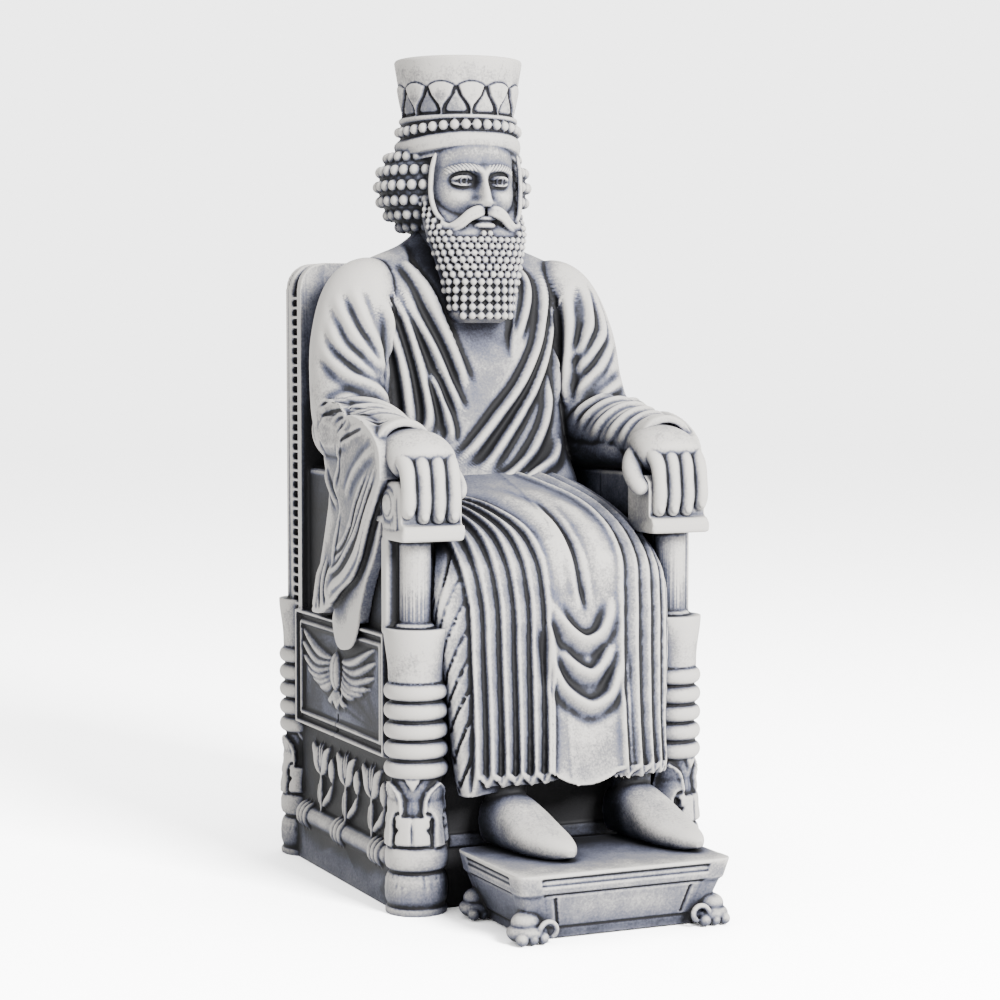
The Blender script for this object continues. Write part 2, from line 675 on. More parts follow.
def robe_folds(points, normals):
    """Carving of the robe: folds over the body, then on both sleeves, then the creases of the elbows."""
    height = np.zeros(len(points))
    for line, width, high in CHEST_FOLDS:
        # Folds over the upper arm are finer than those of the chest
        if abs(line[0][0]) > 40:
            height += ridge(points, normals, line, 0.95 * width, 0.62 * high, 0.55)
        else:
            height += ridge(points, normals, line, 1.1 * width, 1.2 * high, 0.45)
    most = 2.4
    height = most * np.tanh(height / most)
    for sx in SIDES:
        outer = sx * points[:, 0] > 53
        for line, width, high in SLEEVE_FOLDS:
            height += outer * ridge(points, normals, [(sx * 57.6, y, z) for y, z in line], width, high, 0.3)
    for line in ELBOW_CREASES:
        height += ridge(points, normals, line, 0.7, -0.6, 0.2)
    # No fold stands out past the hanging sleeves
    inside = ROBE_HALF - np.abs(points[:, 0])
    return np.where(height * np.abs(normals[:, 0]) > inside, inside, height)


def skirt(clay):
    """Cloth over lap and legs: pleats to both sides of a plain middle panel, lapped strips on the outside."""
    front_share = 0.72
    pleats = 5

    def place(turn, v):
        front = turn < front_share
        s = np.where(front, 2 * turn / front_share - 1, 1 - 2 * (turn - front_share) / (1 - front_share))
        s = np.sign(s) * np.abs(s) ** 0.85
        left, right = stations(SKIRT, v, 5), stations(SKIRT, v, 6)
        x = np.where(s < 0, -s * left, s * right)
        out_y, out_z, in_y, in_z = (stations(SKIRT, v, k) for k in (1, 2, 3, 4))
        span = np.hypot(out_y - in_y, out_z - in_z)
        bow = np.maximum(1 - np.abs(s) ** 3.2, 0) ** (1 / 3.2)
        w = np.where(front, 0.5 - 0.5 * bow, 0.5 + 0.5 * bow**0.5)
        left_in, left_out, right_in, right_out = (stations(PLEATS, v, k) for k in (1, 2, 3, 4))
        # Pleats are counted outwards from the middle panel
        share = np.clip((x - right_in) / (right_out - right_in), 0, 1)
        count_left = (left_in - x) / (left_in - left_out) * pleats
        count_right = pleats * (1 - (1 - share) ** 0.62) + np.maximum(x - right_out, 0)
        count = np.where(x < left_in, count_left, np.where(x > right_in, count_right, -1.0))
        part = count - np.floor(count)
        saw = np.where(part < 0.2, 1 - part / 0.2, (part - 0.2) / 0.8)
        depth = 2.7 * ramp(v, 0.02, 0.2) * np.where(x > 0, 0.8, 1.0)
        beside = bell(x - left_in, 1.6) + bell(x - right_in, 1.6)
        rise = np.where(count >= 0, depth * (saw**0.8 - 0.75), depth * (0.5 * beside - 0.25))
        for line in (left_in + 1.8, right_in + 1.8):
            rise = rise + 0.8 * bell(x - line, 0.55) * ramp(v, 0.68, 0.74)
        rise = np.where(count > pleats, -depth * 0.85, rise)
        away = x - (left_in + right_in) / 2
        hump = 1.8 * bell(np.abs(away) - 7, 5) * ramp(v, 0.2, 0.36) * (1 - ramp(v, 0.46, 0.56))
        flat = np.stack([x, np.broadcast_to(out_z, x.shape)], axis=1)
        for line, width, high, valley in LAP_FOLDS:
            rise = rise + ridge(flat, np.zeros_like(flat), line, width, high, valley)
        rise = np.where(front, rise + np.where(count < 0, hump, 0), 0)
        # Slanting strips beside the pleats
        side = (x < left_out) & front
        slant = (out_z + 1.2 * (left_out - x) + 0.8 * w * span) / 9.5 % 1.0
        lapped = 1.6 * bell(slant - 0.12, 0.1) - 0.7 * slant
        lapped = np.where(side, lapped * ramp(left_out - x, 0.1, 1.0), 0)
        x = x + 0.7 * lapped
        rise = rise - 0.7 * lapped
        w = w - rise / span
        hem = np.where(count >= 0, 41 + 5 * saw, 46 - 6 * np.maximum(1 - (away / 14.5) ** 2, 0))
        hem = np.where(x < left_out, 38, hem)
        drop = np.where(front, (hem - 45) * ramp(v, 0.8, 1.0), -3 * ramp(v, 0.8, 1))
        return x, out_y + (in_y - out_y) * w, out_z + (in_z - out_z) * w + drop

    clay.skin(560, 240, place)


def hand(clay, sx):
    """Hand over the end of an armrest: palm, four bent fingers with nails, and thumb."""
    top = ARM_TOP + GAP
    clay.limb(mirrored(sx, [(46, -34, 148.2, 9.6), (45.6, -42, 148.2, 10.4), (44.5, -49, 146.8, 11.4),
                            (44.4, -54, 144.2, 11.2), (44.4, -57.5, 142, 9.8)]), 60, 40, 0.66, 6)
    for i in range(4):
        x = sx * (36.8 + 5.1 * i)
        knuckle = 0.7 if i in (1, 2) else 0
        low = 125.4 + (1.6 if i == 3 else 0)
        bones = [(-43, top + 4.2, 1.8), (-50, top + 6.6 + knuckle, 2.4), (-55, top + 6.3 + knuckle, 2.75),
                 (-58.8, top + 3.2 + knuckle, 2.5), (-60.2, top - 2.4, 2.35), (-60.3, 132, 2.5),
                 (-59.6, low + 2, 2.2), (-58.6, low, 1.7)]
        clay.limb([(x, *bone) for bone in bones], 28, 60, 1.0, 10)
        clay.ball(x, -61.6, low + 2.6, 1.35, 0.8, 1.9)
    # The thumb of the king's right hand lies closer to the fingers
    in_x = 2.4 if sx < 0 else 0
    thumb = [(39, -42, 146, 4), (34.6, -46.5, 143.5, 3.8), (31.4, -51, 140, 3.3), (30.9, -55.4, 136, 3.0),
             (32.6, -58.6, 133.4, 2.6)]
    clay.limb([(sx * (x + in_x), *rest) for x, *rest in thumb], 30, 40)


# Height and how far the ridge of the nose stands out, and its half width
NOSE = [(226, 0), (227.6, 0.6), (228.6, 4.4), (230.2, 5.7), (233, 4.6), (236.5, 3.2), (240, 1.9), (243, 0)]
NOSE_HALF = [(228, 2.7), (230, 2.7), (232, 2.2), (237, 1.7), (242, 2.4)]


def brow_line(side, z):
    """Height above the arched line of the brows, less the height of that line."""
    return z + 0.035 * (side - 6) ** 2


def head(clay):
    """Skull, nose and brow in one skin, then eyes, lids, ears, lips and moustache."""
    def skull(turn, v):
        z = 207 + 50 * v
        fall = np.sqrt(np.maximum(1 - ((z - 238) / 33) ** 2, 0.05))
        c, s = rounded(turn, 2.25)
        x = 17.6 * fall * c
        front = (s < 0) * np.abs(s) ** 0.7
        side = np.abs(x)

        def swell(at_x, at_z, wide, high):
            return np.exp(-(((side - at_x) / wide) ** 2) - ((z - at_z) / high) ** 2)

        nose = profile(NOSE, z) * np.exp(-((side / profile(NOSE_HALF, z)) ** 2.6))
        brow = 1.5 * bell(brow_line(side, z) - 241.6, 1.7) * bump(side, 7, 5, 3)
        push = (nose + brow + 1.5 * swell(3.3, BROW_Z - 12.2, 1.35, 1.3) + 1.5 * swell(9.5, 231.5, 4.6, 3.6)
                - 2.9 * swell(EYE_X, EYE_Z - 0.2, 4.3, 2.7) - 0.9 * swell(2.6, EYE_Z + 0.5, 1.4, 3.0)
                + 1.9 * swell(0, MOUTH_Z - 3.2, 4.5, 2.2))
        return x * (1 - 0.03 * swell(15.5, 241, 3.5, 6)), HEAD_Y + 20 * fall**0.6 * s - push * front, z

    clay.skin(260, 190, skull)
    for sx in SIDES:
        clay.ball(sx * EYE_X, EYE_Y, EYE_Z, EYE_R, detail=4)
        for lift, thick, reach in ((1.3, 0.72, 3.85), (-1.3, 0.5, 3.75)):
            lid = []
            for a in range(-75, 76, 25):
                c, s = math.cos(math.radians(a)), math.sin(math.radians(a))
                lid.append((sx * (EYE_X + 4.0 * s), EYE_Y - reach * c, EYE_Z + lift * c,
                            thick * (0.6 + 0.4 * c)))
            clay.limb(lid, 14, 26)
        clay.limb(mirrored(sx, [(15.2, 5.4, 247, 0.8), (16.4, 6.0, 241, 0.9), (16.7, 6.2, 233, 0.9),
                                (15.5, 4.6, 226.5, 0.9), (12.6, 1.8, 222.5, 0.8)]), 20, 50)
    clay.ball(0, -1.0, MOUTH_Z + 1.3, 4.6, 2.0, 1.0, 4)
    clay.ball(0, -1.5, MOUTH_Z - 1.2, 3.9, 2.0, 1.25, 4)
    for sx in SIDES:
        for lift in (-1.05, 0.0, 1.05):
            reach = 1 - 0.05 * abs(lift)
            clay.limb(mirrored(sx, [
                (0.4, -2.4, 227.0 + lift * 0.5, 0.9), (3.2, -3.4, 226.8 + lift, 1.1),
                (6.6 * reach, -2.9, 225.4 + lift, 1.15), (9.6 * reach, -1.5, 222.8 + lift, 1.05),
                (11.9, 0.2, 221.2 + lift * 0.8, 0.95), (13.9, 1.6, 222.0 + lift * 0.6, 0.85),
                (14.5, 2.4, 223.8 + lift * 0.3, 0.65)]), 18, 50)


def face_lines(points, _):
    """Fine lines of the face: pupils, the creases above the lids and the hairs of the brows."""
    x, y, z = points.T
    side = np.abs(x)
    front = ramp(-y, -6, -3) * ramp(z, 228, 230)
    gap = np.hypot(side - EYE_X, z - EYE_Z)
    pupil = -0.55 * bell(gap, 0.75) - 0.3 * bell(gap - 1.7, 0.3)
    pupil *= np.abs(z - EYE_Z) < 1.5
    crease = z - EYE_Z - 3.0 + 0.09 * (side - EYE_X) ** 2
    lid = -0.5 * bell(crease, 0.35) * bump(side, EYE_X, 3.6, 1)
    brow = bump(brow_line(side, z), 242.0, 0.9, 0.5) * bump(side, 7.2, 4.6, 1.2)
    hairs = -0.3 * brow * np.abs(np.sin(2.1 * (side * 1.2 - (z - BROW_Z) * 1.1))) ** 3 + 0.35 * brow
    return front * (pupil + lid + hairs)


BEARD_LOW = 189
BEARD_HIGH = 235
# Height, half width, front and back of the beard
BEARD = [
    (189, 7.6, -1.6, 9),
    (190.2, 9.4, -3.6, 10),
    (196, 11.0, -4.4, 12),
    (204, 13.2, -4.6, 13),
    (212, 15.2, -4.2, 15),
    (218, 16.8, -3.2, 17),
    (221, 17.3, -2.2, 18),
    (224, 17.5, 0.4, 19),
    (229, 17.6, 4, 20),
    (235, 17.6, 8, 20),
]


def beard_ring(turn, half, front, back):
    """Outline of the beard at one height."""
    c, s = rounded(turn, 2.6)
    return half * c, (front + back) / 2 + s * (back - front) / 2


def beard(clay):
    """Block of the beard under its rows of round curls."""
    def place(turn, v):
        z = BEARD_LOW + (BEARD_HIGH - BEARD_LOW) * v
        return *beard_ring(turn, *(stations(BEARD, z, k) for k in (1, 2, 3))), z

    clay.skin(120, 70, place)
    # Straight rows at the hem, staggered rows above, up to the line of the cheeks
    row = 0
    z = 191.4
    while z < 237:
        half, front, back = (float(stations(BEARD, np.array([z]), k)[0]) for k in (1, 2, 3))
        pitch = np.interp(z, [191, 206, 222], [2.95, 2.75, 2.3])
        xs, ys = beard_ring(np.linspace(0.5, 1.0, 201), half, front, back)
        lengths = np.concatenate([[0], np.cumsum(np.hypot(np.diff(xs), np.diff(ys)))])
        middle = lengths[100]
        count = int(middle / pitch)
        for i in range(-count, count + 1):
            at = middle + (i + (0.5 if row > 3 and row % 2 else 0.0)) * pitch
            x, y = np.interp(at, lengths, xs), np.interp(at, lengths, ys)
            cheek = np.interp(abs(x), [0, 8, 12, 15.5, 17.5, 19], [219.6, 218.8, 219.5, 224, 234, 239])
            if z > cheek or y > 13 or (row == 0 and abs(x) > half - 0.8):
                continue
            out = Vector((x / half**2, (y - (front + back) / 2) / ((back - front) / 2) ** 2, 0)).normalized()
            r = pitch * 0.44
            clay.ball(x + out.x * 0.5, y + out.y * 0.5, z, r, r, r * 1.02)
        row += 1
        z += pitch if row < 5 else pitch * 0.9


def hair(clay):
    """Bun of hair behind the head, covered with level rows of curls."""
    cy, cz = 26.5, 236.4
    rx, ry, rz = 26.4, 21.4, 18.6
    curl_pitch = 3.9

    def egg(turn, v):
        lift = math.pi * (v - 0.5)
        c, s = rounded(turn, 2.1)
        flat = np.cos(lift) ** 0.85
        return rx * c * flat, cy + ry * s * flat, cz + rz * np.sin(lift)

    clay.skin(90, 60, egg)
    rows = 11
    for k in range(rows):
        lift = math.pi * ((k + 0.5) / rows - 0.5) * 0.98
        flat = math.cos(lift) ** 0.85
        count = int(2 * math.pi * 23.5 * flat / curl_pitch)
        for i in range(count):
            angle = 2 * math.pi * (i + 0.5 * (k % 2)) / max(count, 1)
            out = Vector((math.cos(angle), math.sin(angle), 0))
            x, y = rx * flat * out.x, cy + ry * flat * out.y
            z = cz + rz * math.sin(lift)
            if y < 9 or (abs(x) < 14 and y < 20):
                continue
            clay.ball(x + out.x * 0.5, y + out.y * 0.5, z, 1.86, 1.86, 1.95)


# Crown: height and radius of its wall, and height and half width of the fans and of the buds between them
CROWN = [(248.5, 20.2), (249.6, 21.5), (252, 21.9), (253.8, 21.6), (254.8, 20.2), (258.6, 20.0),
         (259.0, 20.7), (260.0, 20.7), (260.4, 19.7), (266, 20.2), (272, 21.1), (279.2, 22.3), (280, 21.8)]
FAN = [(260, 0.55), (262, 0.6), (263.5, 1.2), (266.5, 3.6), (269.8, 4.75)]
BUD = [(260.9, 2.8), (261.8, 4.0), (263.4, 3.5), (265.2, 2.3), (266.8, 1.1), (268.4, 0.2)]


def crown(clay):
    """Flaring crown with a band of fans and buds over a row of beads."""
    fans = 12
    girth = 2 * math.pi * 20.3

    def place(turn, v):
        z = 247 + (CROWN_TOP - 247) * v
        r = profile(CROWN, z)
        pitch = 1 / fans
        from_fan = ((turn / pitch + 0.5) % 1.0 - 0.5) * girth * pitch
        from_bud = ((turn / pitch) % 1.0 - 0.5) * girth * pitch
        arch = (from_fan / 4.6) ** 2
        inside = np.minimum((profile(FAN, z) - np.abs(from_fan)) / 0.5, (271.4 - 1.5 * arch - z) / 0.5)
        tall = np.minimum((z - 260.8) / 0.5, (268.6 - z) / 0.5)
        inner = np.minimum((profile(BUD, z) - np.abs(from_bud)) / 0.5, tall)
        raised = np.maximum(np.clip(inside, 0, 1), 0.45 * np.clip(inner, 0, 1))
        field = ramp(z, 260.1, 260.6) * (1 - ramp(z, 270.8 - 1.2 * arch, 271.8 - 1.2 * arch))
        r = r + field * (raised * 1.6 - 1.0)
        angle = 2 * math.pi * turn + 0.35
        dip = -2.6 * (1 - ramp(z, 253, 262)) * np.abs(np.cos(angle)) ** 3
        return r * np.cos(angle), CROWN_Y + r * np.sin(angle), z + dip

    clay.skin(480, 130, place)
    beads = 34
    bead_ring = 20.7
    for i in range(beads):
        angle = 2 * math.pi * i / beads
        c, s = math.cos(angle), math.sin(angle)
        clay.ball(bead_ring * c, CROWN_Y + bead_ring * s, 256.7 - 1.7 * abs(c) ** 3, 1.7, 1.7, 1.75)


# Share of the way from heel to toe, half width, height and lift
SHOE = [
    (0, 7.0, 16, 0), (0.2, 8.0, 17.5, 0), (0.4, 8.4, 15, 0), (0.6, 8.6, 10.6, 0), (0.8, 6.8, 7.4, 0),
    (0.92, 4.2, 5.2, 0.4), (1, 1.2, 2.6, 1.2),
]


def shoe(clay, heel_x, heel_y, toe_x, toe_y):
    """Pointed shoe and the shin above it, which the skirt hides."""
    sole = STOOL_TOP + GAP

    def place(turn, v):
        c, s = rounded(turn, 2.3)
        lift = stations(SHOE, v, 3)
        up = np.maximum(0, (s + 0.8) / 1.8)
        return (heel_x + (toe_x - heel_x) * v**1.3 + stations(SHOE, v, 1) * c, heel_y + (toe_y - heel_y) * v,
                sole + lift + stations(SHOE, v, 2) * up)

    clay.skin(70, 70, place)
    clay.limb([(heel_x + 1, -62, 28, 6.6), (heel_x + 1, -61, 36, 6.6), (heel_x + 1, -60, 56, 7.4)], 30, 30)


def king_rooms():
    """Room that the throne and the footstool take, as low and high corners."""
    rooms = [
        ((-PANEL_FACE - GAP, CORE_FRONT - GAP, -5), (PANEL_FACE + GAP, 70, SEAT_TOP + GAP)),
        ((-BACK_HALF - GAP, BACK_FRONT - GAP, 80), (BACK_HALF + GAP, 90, BACK_TOP + GAP)),
        ((-80, -140, -5), (80, CORE_FRONT - GAP, STOOL_TOP + GAP)),
    ]
    for sx in SIDES:
        for x0, x1, y0, y1, z0, z1 in ARM_BLOCKS:
            a, b = on_side(sx, x0, x1)
            rooms.append(((a - GAP, y0 - GAP, z0 - GAP), (b + GAP, y1 + GAP, z1 + GAP)))
    return rooms


def build_robe(sizes):
    clay = Clay()
    torso(clay)
    arms(clay)
    sleeves(clay)
    return cast(clay, "king_robe", sizes.voxel, sizes.budget, robe_folds, ROBE_POOLS, king_rooms())


def build_lap(sizes):
    clay = Clay()
    skirt(clay)
    shoe(clay, -20, -57, -13, -97)
    shoe(clay, 25, -56, 30.5, -100)
    return cast(clay, "king_skirt_and_shoes", sizes.voxel, sizes.budget, None, LAP_POOLS, king_rooms())


def build_head(sizes):
    clay = Clay()
    head(clay)
    beard(clay)
    hair(clay)
    crown(clay)
    return cast(clay, "king_head", sizes.head_voxel, sizes.budget, face_lines, HEAD_POOLS)


def build_hands(sizes):
    clay = Clay()
    for sx in SIDES:
        hand(clay, sx)
    return cast(clay, "king_hands", sizes.head_voxel, sizes.budget // 3, rooms=king_rooms())


# Throne: inner x, outer x, y, y, z, z of the plain parts of one arm
ARM_BLOCKS = [
    (43, WALL_OUTER, -44, BACK_FRONT + 1, SEAT_TOP - 1, ARM_TOP - 1),
    (38, 53, -45, -14, ARM_LOW, ARM_TOP),
    (38, WALL_OUTER, -15, BACK_FRONT + 1, ARM_LOW, ARM_TOP),
    (BLOCK_INNER, BLOCK_OUTER, ARM_FRONT, -44, ARM_LOW - 1, ARM_TOP),
    (BLOCK_INNER, BLOCK_OUTER, -62, -44, LEDGE_LOW, ARM_LOW),
    (46, BLOCK_OUTER, -48, -43, SEAT_TOP - 1, LEDGE_LOW + 1),
]

# Height and radius of a post
POST = [
    (0, 9.9), (1.8, 10.1), (2.3, 9.2), (3, 9.3), (5, 10), (8, 10.15), (11, 9.9), (12.8, 9.2), (13.4, 8.4),
    (14.2, 8.6), (14.8, 9.7), (16.5, 10.1), (19.5, 10.1), (21.2, 9.6), (21.9, 8.5), (22.4, 8.2), (30, 8.2),
    (36, 8.4), (40, 9.2), (43, 10.1), (43.5, 9.6),
]
# Curl of a volute, as distance from its middle and height
VOLUTE_HOOK = [(4.6, 33), (6, 32.6), (7, 31), (7.3, 29), (6.7, 27.2), (5.6, 26.8), (4.9, 27.8)]
# Height and how far a leaf's edge lies from the middle of the volutes
LEAF_EDGE = [(30.8, 7.0), (31.4, 3.6), (34, 3.2), (37, 3.6), (39.5, 4.6), (41, 6.2), (42.2, 8.2), (43.2, 9.6)]


def post(clay, x, y):
    """Turned post: grooved foot, collar of volutes and leaves, five rings and a flaring top."""
    # Three pairs of volutes; one of them faces the front and a little outwards
    facing = math.radians(-90 + 30 * np.sign(x))
    pitch = (RINGS_HIGH - RINGS_LOW) / 5

    def place(turn, v):
        z = POST_TOP * v
        r = profile(POST, z)
        k = ((z - RINGS_LOW) / pitch) % 1.0
        bulge = np.sqrt(np.maximum(1 - (2 * k - 1) ** 2 / 0.82, 0))
        r = np.where((z > RINGS_LOW) & (z < RINGS_HIGH), 7.3 + 3.05 * bulge**0.8, r)
        collar = 8.9 + 1.45 * ramp(z, 76, POST_TOP) ** 1.2
        r = np.where(z >= RINGS_HIGH, collar, r)
        angle = 2 * math.pi * turn
        stroke = bell(np.sin(angle * 13), 0.22) * ramp(z, 8 - 3.8 * np.sin(angle * 7), 12)
        r = np.where(z < 13, r - 0.9 * stroke, r)
        # Distance around the post from the middle of the nearest pair of volutes
        side = np.abs((((angle - facing) / (2 * math.pi) * 3 + 0.5) % 1.0 - 0.5) * 2 * math.pi * 9 / 3)
        waist = np.interp(z, [22, 30, 37, 43.5], [8.9, 8.2, 7.1, 8.2])
        volute = np.clip(np.minimum((5.8 - side) / 0.5, np.minimum((z - 22.5) / 0.6, (32 - z) / 0.6)), 0, 1)
        edge = profile(LEAF_EDGE, z)
        leaf = np.clip((side - edge) / 0.5, 0, 1)
        rim = bell(side - edge - 0.7, 0.6) * ramp(z, 32, 33)
        tip = np.clip(((z - 39.6) * 0.7 - side) / 0.5, 0, 1)
        hook = along_line(VOLUTE_HOOK, side, z)
        shape = waist + 1.7 * volute + (1 - volute) * (1.6 * leaf + 0.7 * rim + 1.0 * tip)
        shape -= 1.7 * volute * bell(side, 0.35) + 1.6 * bell(hook, 0.5)
        r = np.where((z > 22) & (z < RINGS_LOW), shape, r)
        return x + r * np.cos(angle), y + r * np.sin(angle), z

    clay.skin(240, 300, place)


# Feathers of the wings in the side panel, as distance from their middle and height: tip, root, point between
FEATHERS = [
    ((34.5, 82.5), (4, 75), (17, 76)),
    ((35.5, 78.2), (4, 73.4), (19, 72.8)),
    ((34, 73), (4, 71.8), (18, 69.6)),
    ((30, 68.8), (4, 70.2), (15, 67.4)),
    ((24, 66), (4, 68.6), (12, 66.2)),
    ((17, 63.8), (4, 67), (9, 65)),
]
# One blossom of the frieze with the bud beside it: middle line and width of each petal, stem and leaf
BLOSSOM = [
    ([(0, 18), (0, 26), (0, 35)], 2.2),
    *(([(0.4 * k, 33.6), (0.9 * k, 39), (1.25 * k, 44.6 - 0.22 * k * k)], 1.6) for k in (-3, -1, 1, 3)),
    *(([(k * 0.4, 32.4), (k * 3.6, 36), (k * 5, 40), (k * 8.4, 43.6)], 4.6) for k in SIDES),
    ([(-10.4, 31.2), (-10.6, 35.8), (-10.4, 40.2)], 4.4),
    ([(-0.8, 21.5), (-4.6, 24.2), (-8.4, 27), (-10.8, 31.4)], 3.0),
    ([(0.8, 20.5), (2.6, 24), (2.4, 28), (1, 32)], 1.4),
]
# Outline of the tail under the wings
TAIL = [(-2.5, 65), (-9, 60.4), (-6, 59), (-3.4, 60.4), (0, 57.8), (3.4, 60.4), (6, 59), (9, 60.4), (2.5, 65)]


def side_face(y, z):
    """Outer face of the throne's side: panel with wings above, blossoms and buds below."""
    x = np.full(np.shape(y), WALL_OUTER)
    edge = np.minimum(PANEL_HALF - np.abs(y), np.minimum(z - PANEL_LOW, PANEL_HIGH - z))
    panel = 52.1 + 1.9 * bump(edge, 0.5, 0.9) + 1.4 * bump(edge, 4.4, 0.55)
    panel -= 1.6 * bell(along_line([(WING_Y + 0.5, 46), (WING_Y + 0.5, 56)], y, z), 0.4)
    field = (edge > 5.6) * 1.0
    across = np.abs(y - WING_Y)
    wing = np.zeros(np.shape(y))
    for tip, root, middle in FEATHERS:
        depth = within(petal([root, middle, tip], 4.3), across, z)
        wing = np.maximum(wing, 0.4 * (depth > 0) + 1.3 * np.clip(depth / 1.7, 0, 1) ** 0.7)
    wing = np.maximum(wing, 1.1 * np.clip(within(TAIL, y - WING_Y, z) / 0.5, 0, 1))
    body = 1 - ((y - WING_Y) / 4.1) ** 2 - ((z - 71) / 6.6) ** 2
    wing = np.maximum(wing, 2.1 * np.sqrt(np.clip(body, 0, 1)) + 0.6 * (body > 0))
    wing -= 0.6 * (body > 0.1) * bell(across - 1.3, 0.3)
    cord = along_line([(-2, 61.5), (-5, 62.4), (-6.4, 65), (-6, 68)], y - WING_Y, z)
    wing = np.maximum(wing, 1.3 * bell(cord, 0.8))
    x = np.where(edge > 0, panel + field * wing, x)
    frieze = np.zeros(np.shape(y))
    for i in range(3):
        f = y - BLOSSOM_SHIFT - (i - 1) * BLOSSOM_PITCH
        near = (np.abs(f) < 14) & (z < 46)
        fy, fz = f[near], z[near]
        height = np.zeros(len(fy))
        for line, width in BLOSSOM:
            depth = within(petal(line, width), fy, fz)
            height = np.maximum(height, 0.9 * (depth > 0) + 1.3 * np.clip(depth / 1.2, 0, 1) ** 0.6)
        height -= 0.8 * bell(along_line([(-10.4, 32.5), (-10.4, 39)], fy, fz), 0.25)
        frieze[near] = np.maximum(frieze[near], height)
    return np.where(edge > 0, x, x + frieze)


def throne_side(clay, sx):
    """Side of the throne: the carved wall and the rail below it."""
    clay.relief(sx, -PANEL_HALF - 0.8, PANEL_HALF + 0.8, 18, PANEL_HIGH + 0.8, side_face, 48)
    # Round rail with three rings at each end and at the middle
    clay.limb([(sx * RAIL_X, -42, RAIL_Z, 3.6), (sx * RAIL_X, 42, RAIL_Z, 3.6)], 48, 60, 1.0, 60)
    for y in (-34.5, 0.5, 34.5):
        for step in (-3.2, 0, 3.2):
            ring = [(sx * RAIL_X, y + step + k * 1.2, RAIL_Z, 4.9) for k in SIDES]
            clay.limb(ring, 48, 8, 1.0, 4)


def arm_rest(clay, sx):
    """Arm with its front end, the column under it and the ball in the corner of the seat."""
    for x0, x1, y0, y1, z0, z1 in ARM_BLOCKS:
        clay.block(*on_side(sx, x0, x1), y0, y1, z0, z1, 1.2)
    cheek = [(-44, 138.6), (-56, 138.6), (-58.6, 136.6), (-59.4, 133), (-59, 125.4), (-61.4, 124.4),
             (-62.2, 122.6), (-61.2, 120.4), (-59, 119.6), (-50, 119.6), (-44, 123)]
    clay.plate(cheek, *on_side(sx, BLOCK_INNER, 54.4))
    # Stepped disc, two short bars behind it, and the round column with its collar under the arm's end
    for face, radius in ((55.6, 4.9), (56.3, 3.1), (56.8, 1.3)):
        clay.limb([(sx * 52, END_Y, 131.2, radius), (sx * face, END_Y, 131.2, radius)], 48, 10, 1.0, 30)
    for z in (ARM_LOW + 1.5, ARM_TOP - 4):
        clay.block(*on_side(sx, 52, 55.2), -46, -38.5, z, z + 2.4, 0.4)
    clay.limb([(sx * 46, END_Y, 88, 5.1), (sx * 46, END_Y, LEDGE_LOW + 1, 5.1)], 180, 60, 1.0, 40)
    clay.limb([(sx * 46, END_Y, 91, 6.6), (sx * 46, END_Y, 93, 6.2)], 60, 6, 1.0, 20)
    clay.ball(sx * 38.2, -45, 94.4, 3.8, 3.8, 4.4, 3)


def back_rest(clay):
    """Back built of slabs, with a row of slots along both edges."""
    corner = 9

    def arch(half, top):
        line = []
        for side in (1, -1):
            for i in range(13):
                angle = (i if side > 0 else 12 - i) / 12 * math.pi / 2
                across = half - corner + corner * math.cos(angle)
                line.append((side * across, top - corner + corner * math.sin(angle)))
        return line

    def slab(half, top, y0, y1):
        clay.plate([(-half, SEAT_TOP - 2), (half, SEAT_TOP - 2)] + arch(half, top), y0, y1, "Y")

    slab(BACK_HALF - 2.6, BACK_TOP - 0.6, BACK_FRONT + 1, BACK_REAR - 1)
    slab(BACK_HALF, BACK_TOP, BACK_FRONT, BACK_FRONT + 3.6)
    slab(BACK_HALF, BACK_TOP, BACK_FRONT + 9.2, BACK_FRONT + 12)
    slab(BACK_HALF, BACK_TOP, BACK_FRONT + 12.9, BACK_REAR)
    for sx in SIDES:
        a, b = on_side(sx, BACK_HALF - 3, BACK_HALF - 0.1)
        z = SEAT_TOP
        while z < BACK_TOP - 10:
            clay.block(a, b, BACK_FRONT + 3.4, BACK_FRONT + 9.5, z, z + 1.05)
            z += 3.35


def build_throne(sizes):
    clay = Clay()
    clay.block(-CORE_HALF, CORE_HALF, CORE_FRONT, CORE_BACK, 0, SEAT_TOP)
    clay.block(-34, 34, CORE_BACK - 1, CORE_BACK + 1.5, 47.5, 89)
    clay.block(-52.5, 52.5, -POST_Y, POST_Y, 0, 13.5)
    for sx in SIDES:
        for sy in SIDES:
            post(clay, sx * POST_X, sy * POST_Y)
        throne_side(clay, sx)
        arm_rest(clay, sx)
    back_rest(clay)
    for z0, z1 in ((20, 24), (84, 88)):
        clay.block(-35, 35, CORE_FRONT - 1.2, 0, z0, z1)
    return cast(clay, "throne", sizes.voxel, sizes.budget, None, THRONE_POOLS)


# Height and how far the stool's wall lies inside the edge of its top, along the walls and at the corners
STOOL_WALL = [
    (0.6, 6.8), (3.4, 6.6), (3.6, 7.0), (4.0, 7.0), (4.3, 5.9), (14.2, 2.6), (14.6, 3.0), (15.1, 3.0),
    (15.4, 1.3), (17.6, 0.8), (17.8, 1.3), (18.4, 1.3), (18.6, 0.9), (19.4, 0.9), (19.6, 1.3), (20.2, 1.3),
    (20.4, 0.1), (21.2, 0.0), (STOOL_TOP, 0.4),
]
STOOL_CORNER = [(0.6, 6.8), (3.4, 6.6), (4.3, 5.9), (14.4, 2.4), (15.4, 1.4), (20.4, 0.2), (21.2, 0.0)]


